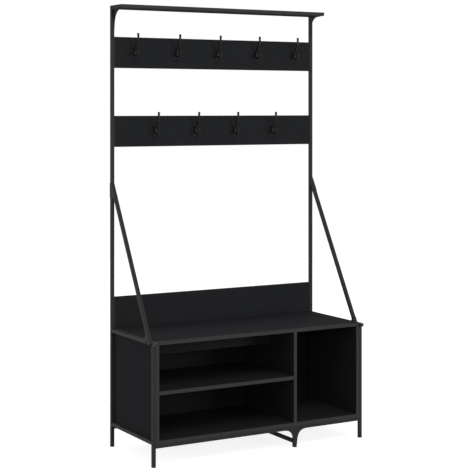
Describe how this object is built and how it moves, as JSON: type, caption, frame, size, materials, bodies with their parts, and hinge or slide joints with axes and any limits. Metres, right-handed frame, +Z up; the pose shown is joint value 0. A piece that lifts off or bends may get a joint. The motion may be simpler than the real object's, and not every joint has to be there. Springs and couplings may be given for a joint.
{
  "type": "hall tree with hooks",
  "caption": "Tall steel-framed hall tree: a low bench with open compartments and a backrest, leaning side braces, hook boards with double coat hooks and a narrow top shelf.",
  "frame": {"origin": "on the floor, under the middle of the piece", "axes": "+Z up; +X to the right as seen from the front; the front faces -Y"},
  "size_m": [1.015, 0.413, 1.84],
  "materials": {
    "steel_frame": "fine matt powder coat",
    "coated_board": "black melamine coat with a faint grain",
    "back_sheet": "black painted hardboard",
    "cast_hook": "satin black paint on cast metal",
    "black_screws": "black oxide",
    "pin_steel": "plain",
    "dowel_wood": "plain beech",
    "foot_plastic": "moulded, matt",
    "plug_plastic": "moulded, matt"
  },
  "bodies": {
    "root": {"back_panel": "back_sheet", "backrest": "coated_board", "bottom_board": "coated_board", "brace_left": "steel_frame", "brace_right": "steel_frame", "brace_screws": "black_screws", "divider": "coated_board", "dowels": "dowel_wood", "foot_front_left": "foot_plastic", "foot_front_right": "foot_plastic", "foot_middle_front": "foot_plastic", "foot_middle_rear": "foot_plastic", "foot_rear_left": "foot_plastic", "foot_rear_right": "foot_plastic", "frame_screws": "black_screws", "gusset_screws": "black_screws", "hook_board_lower": "coated_board", "hook_board_upper": "coated_board", "hook_lower_1": "cast_hook", "hook_lower_2": "cast_hook", "hook_lower_3": "cast_hook", "hook_lower_4": "cast_hook", "hook_screws": "black_screws", "hook_upper_1": "cast_hook", "hook_upper_2": "cast_hook", "hook_upper_3": "cast_hook", "hook_upper_4": "cast_hook", "hook_upper_5": "cast_hook", "leg_front_left": "steel_frame", "leg_front_right": "steel_frame", "leg_gusset_front_left": "steel_frame", "leg_gusset_front_right": "steel_frame", "leg_gusset_rear_left": "steel_frame", "leg_gusset_rear_right": "steel_frame", "leg_middle_front": "steel_frame", "leg_middle_rear": "steel_frame", "middle_shelf": "coated_board", "post_left": "steel_frame", "post_right": "steel_frame", "rail_bottom_front": "steel_frame", "rail_bottom_rear": "steel_frame", "rail_plug_left": "plug_plastic", "rail_plug_right": "plug_plastic", "rail_side_bottom_left": "steel_frame", "rail_side_bottom_right": "steel_frame", "rail_side_top_left": "steel_frame", "rail_side_top_right": "steel_frame", "seat_board": "coated_board", "seat_bolt_collars": "plug_plastic", "seat_bolts": "black_screws", "seat_support": "coated_board", "shelf_gusset_left": "steel_frame", "shelf_gusset_right": "steel_frame", "shelf_pins": "pin_steel", "shelf_screws": "black_screws", "side_panel_left": "coated_board", "side_panel_right": "coated_board", "stretcher_middle": "steel_frame", "top_shelf": "coated_board"}
  },
  "joints": []
}
